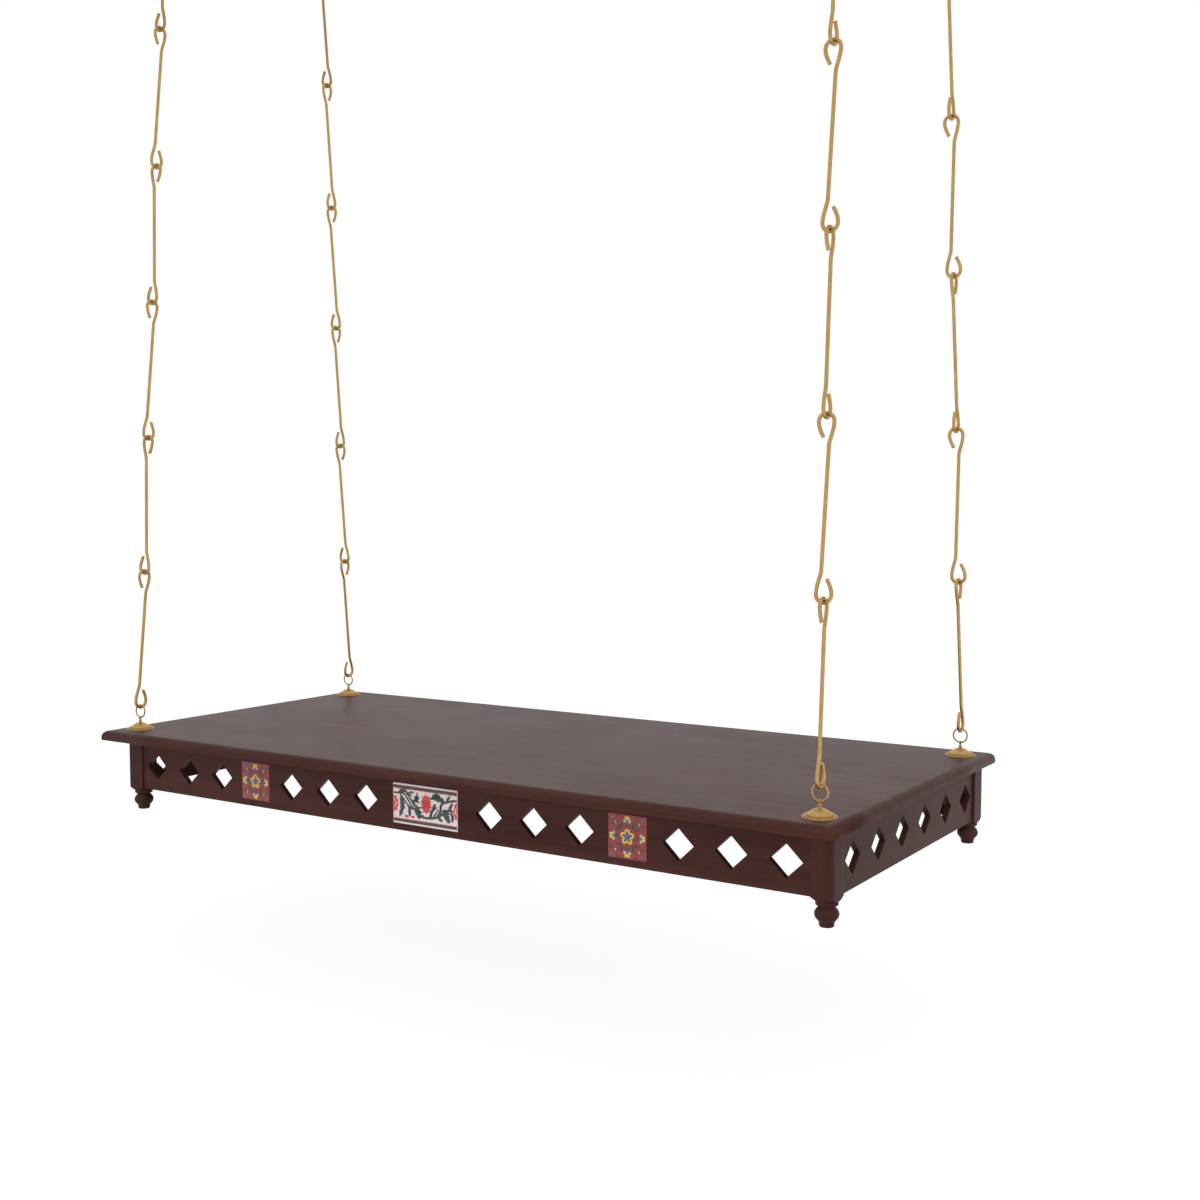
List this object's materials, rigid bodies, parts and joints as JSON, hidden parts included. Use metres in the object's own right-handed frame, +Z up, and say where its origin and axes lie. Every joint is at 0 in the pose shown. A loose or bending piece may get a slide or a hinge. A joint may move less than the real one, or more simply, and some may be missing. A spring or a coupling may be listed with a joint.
{
  "type": "jhoola swing",
  "caption": "Wooden swing bed with a thin seat plank, pierced and tiled aprons and turned feet, hung at its corners from the ceiling by chains of long hooked rod links.",
  "frame": {"origin": "on the ceiling, midway between the four ceiling roses; the seat hangs below", "axes": "+X along the seat to its right end, +Y to its back, +Z up"},
  "size_m": [1.67, 0.77, 2.3441],
  "materials": {
    "dark_wood": "satin stained hardwood",
    "brass": "satin",
    "red_tile": "hand painted glaze, red ground",
    "white_tile": "hand painted glaze, white ground",
    "zinc_steel": "zinc plated"
  },
  "bodies": {
    "ceiling_fittings": {"ceiling_roses": "brass", "ceiling_studs": "zinc_steel"},
    "ceiling_ring_fl": {"ceiling_ring_fl": "brass"},
    "chain_fl": {"link_fl_1": "brass", "link_fl_2": "brass", "link_fl_3": "brass", "link_fl_4": "brass", "link_fl_5": "brass", "link_fl_6": "brass", "link_fl_7": "brass"},
    "seat_ring_fl": {"seat_ring_fl": "brass"},
    "ceiling_ring_fr": {"ceiling_ring_fr": "brass"},
    "chain_fr": {"link_fr_1": "brass", "link_fr_2": "brass", "link_fr_3": "brass", "link_fr_4": "brass", "link_fr_5": "brass", "link_fr_6": "brass", "link_fr_7": "brass"},
    "seat_ring_fr": {"seat_ring_fr": "brass"},
    "ceiling_ring_bl": {"ceiling_ring_bl": "brass"},
    "chain_bl": {"link_bl_1": "brass", "link_bl_2": "brass", "link_bl_3": "brass", "link_bl_4": "brass", "link_bl_5": "brass", "link_bl_6": "brass", "link_bl_7": "brass"},
    "seat_ring_bl": {"seat_ring_bl": "brass"},
    "ceiling_ring_br": {"ceiling_ring_br": "brass"},
    "chain_br": {"link_br_1": "brass", "link_br_2": "brass", "link_br_3": "brass", "link_br_4": "brass", "link_br_5": "brass", "link_br_6": "brass", "link_br_7": "brass"},
    "seat_ring_br": {"seat_ring_br": "brass"},
    "seat": {"seat_plank": "dark_wood", "front_apron": "dark_wood", "back_apron": "dark_wood", "left_apron": "dark_wood", "right_apron": "dark_wood", "corner_legs": "dark_wood", "tile_left": "red_tile", "tile_centre": "white_tile", "tile_right": "red_tile", "cross_rail_left": "dark_wood", "cross_rail_centre": "dark_wood", "cross_rail_right": "dark_wood", "corner_blocks": "dark_wood", "plank_screws": "zinc_steel", "seat_roses": "brass", "seat_bolts": "zinc_steel"}
  },
  "joints": [
    {"name": "swing_fl", "type": "hinge", "parent": "ceiling_fittings", "child": "ceiling_ring_fl", "pos_m": [-0.75565, -0.2184, -0.0247], "axis": [1, 0, 0], "range_deg": [-15, 15]},
    {"name": "sway_fl", "type": "hinge", "parent": "ceiling_ring_fl", "child": "chain_fl", "pos_m": [-0.75598, -0.21949, -0.04627], "axis": [0, 1, 0], "range_deg": [-5, 5]},
    {"name": "seat_ring_turn_fl", "type": "hinge", "parent": "chain_fl", "child": "seat_ring_fl", "pos_m": [-0.78647, -0.32089, -2.04377], "axis": [0, 1, 0], "range_deg": [-5.5, 5.5]},
    {"name": "seat_tilt", "type": "hinge", "parent": "seat_ring_fl", "child": "seat", "pos_m": [-0.7868, -0.322, -2.06563], "axis": [1, 0, 0], "range_deg": [-11, 11]},
    {"name": "swing_fr", "type": "hinge", "parent": "ceiling_fittings", "child": "ceiling_ring_fr", "pos_m": [0.75565, -0.2184, -0.0247], "axis": [1, 0, 0], "range_deg": [-15.5, 15.5]},
    {"name": "sway_fr", "type": "hinge", "parent": "ceiling_ring_fr", "child": "chain_fr", "pos_m": [0.75598, -0.21951, -0.04657], "axis": [0, 1, 0], "range_deg": [-5.5, 5.5]},
    {"name": "seat_ring_turn_fr", "type": "hinge", "parent": "seat", "child": "seat_ring_fr", "pos_m": [0.7868, -0.322, -2.06563], "axis": [1, 0, 0], "range_deg": [-11, 11]},
    {"name": "swing_bl", "type": "hinge", "parent": "ceiling_fittings", "child": "ceiling_ring_bl", "pos_m": [-0.75565, 0.2184, -0.0247], "axis": [1, 0, 0], "range_deg": [-15.5, 15.5]},
    {"name": "sway_bl", "type": "hinge", "parent": "ceiling_ring_bl", "child": "chain_bl", "pos_m": [-0.75598, 0.21951, -0.04657], "axis": [0, 1, 0], "range_deg": [-5.5, 5.5]},
    {"name": "seat_ring_turn_bl", "type": "hinge", "parent": "seat", "child": "seat_ring_bl", "pos_m": [-0.7868, 0.322, -2.06563], "axis": [1, 0, 0], "range_deg": [-11, 11]},
    {"name": "swing_br", "type": "hinge", "parent": "ceiling_fittings", "child": "ceiling_ring_br", "pos_m": [0.75565, 0.2184, -0.0247], "axis": [1, 0, 0], "range_deg": [-15.5, 15.5]},
    {"name": "sway_br", "type": "hinge", "parent": "ceiling_ring_br", "child": "chain_br", "pos_m": [0.75598, 0.21951, -0.04657], "axis": [0, 1, 0], "range_deg": [-5.5, 5.5]},
    {"name": "seat_ring_turn_br", "type": "hinge", "parent": "seat", "child": "seat_ring_br", "pos_m": [0.7868, 0.322, -2.06563], "axis": [1, 0, 0], "range_deg": [-11, 11]}
  ],
  "couplings": [
    {"joint": "seat_ring_turn_fl", "follows": "sway_fl", "ratio": -0.9613},
    {"joint": "seat_tilt", "follows": "swing_fl", "ratio": -0.6751},
    {"joint": "swing_fr", "follows": "swing_fl", "ratio": 1},
    {"joint": "sway_fr", "follows": "sway_fl", "ratio": 1},
    {"joint": "seat_ring_turn_fr", "follows": "swing_fl", "ratio": 0.6751},
    {"joint": "swing_bl", "follows": "swing_fl", "ratio": 1},
    {"joint": "sway_bl", "follows": "sway_fl", "ratio": 1},
    {"joint": "seat_ring_turn_bl", "follows": "swing_fl", "ratio": 0.6751},
    {"joint": "swing_br", "follows": "swing_fl", "ratio": 1},
    {"joint": "sway_br", "follows": "sway_fl", "ratio": 1},
    {"joint": "seat_ring_turn_br", "follows": "swing_fl", "ratio": 0.6751}
  ]
}
